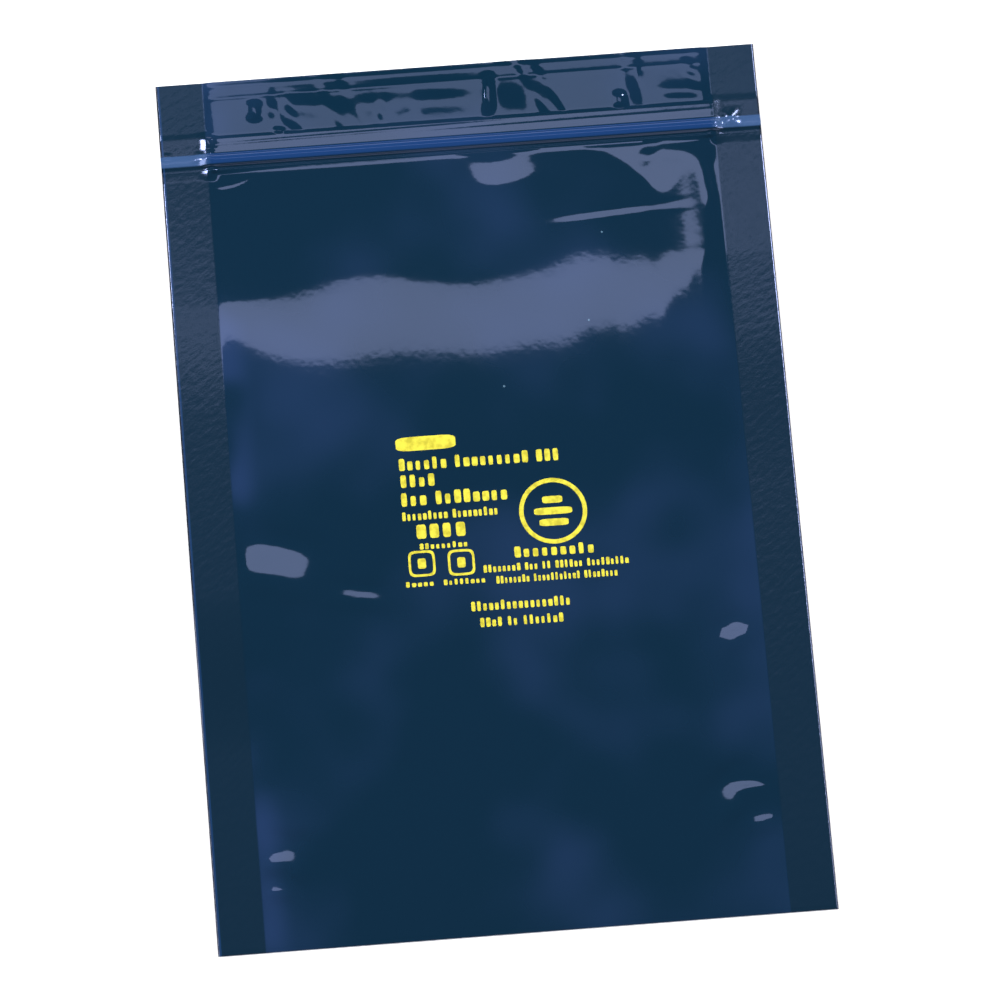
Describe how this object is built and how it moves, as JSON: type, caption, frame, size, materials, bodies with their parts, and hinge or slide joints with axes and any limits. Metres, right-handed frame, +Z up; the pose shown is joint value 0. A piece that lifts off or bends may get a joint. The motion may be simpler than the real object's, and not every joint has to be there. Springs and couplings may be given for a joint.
{
  "type": "anti static shielding bag",
  "caption": "Flat zip-top bag of dark glossy shielding film, folded at the bottom, with knurled side welds, a press-to-close zip and a creased lip.",
  "frame": {"origin": "middle of the bag's outline, on the flat back that it lies on", "axes": "+X across the bag, +Y from the bottom fold to the mouth, +Z up out of the front wall"},
  "size_m": [0.1508, 0.224, 0.0038],
  "materials": {
    "shielding_film": "glossy metallised film, dark blue, knurled in the side welds",
    "zip_plastic": "translucent polyethylene seen through tinted film",
    "print_ink": "opaque yellow ink"
  },
  "bodies": {
    "root": {"film_pouch": "shielding_film", "zip_rib_strip": "zip_plastic", "zip_groove_strip": "zip_plastic"}
  },
  "joints": []
}
